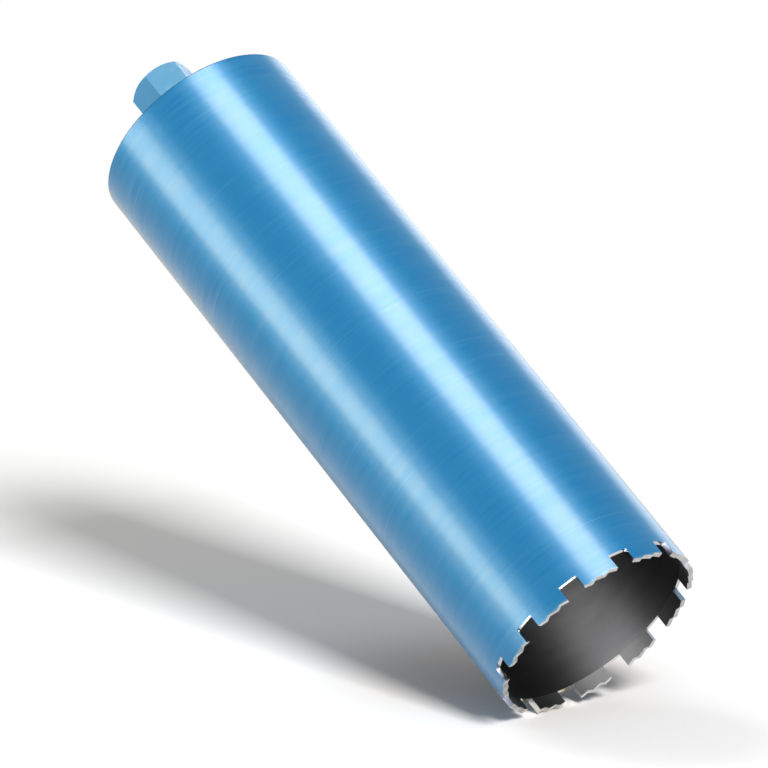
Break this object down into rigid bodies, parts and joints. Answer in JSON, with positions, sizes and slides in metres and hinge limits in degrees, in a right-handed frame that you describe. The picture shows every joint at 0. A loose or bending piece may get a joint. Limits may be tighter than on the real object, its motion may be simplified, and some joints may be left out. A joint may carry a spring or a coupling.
{
  "type": "diamond core bit",
  "caption": "Blue steel core drill barrel with saw-tooth diamond segments round its open end and a hexagonal threaded hub on its closed end.",
  "frame": {"origin": "on the axis of the barrel, in the plane of the cutting peaks that the bit stands on", "axes": "+Z along the axis, from the crown up to the threaded hub; one segment is centred on +X and two flats of the hub face +X and -X"},
  "size_m": [0.142, 0.142, 0.499],
  "materials": {
    "barrel": "satin blue lacquer over fine turning marks, dark bare steel inside",
    "end_plate": "satin blue lacquer",
    "hub": "satin blue lacquer on milled flats",
    "segment": "blue lacquer outside, bare grey sintered metal on the cutting and side faces"
  },
  "bodies": {
    "root": {"barrel": "barrel", "end_plate": "end_plate", "hub": "hub", "segment_01": "segment", "segment_02": "segment", "segment_03": "segment", "segment_04": "segment", "segment_05": "segment", "segment_06": "segment", "segment_07": "segment", "segment_08": "segment", "segment_09": "segment", "segment_10": "segment", "segment_11": "segment", "segment_12": "segment"}
  },
  "joints": []
}
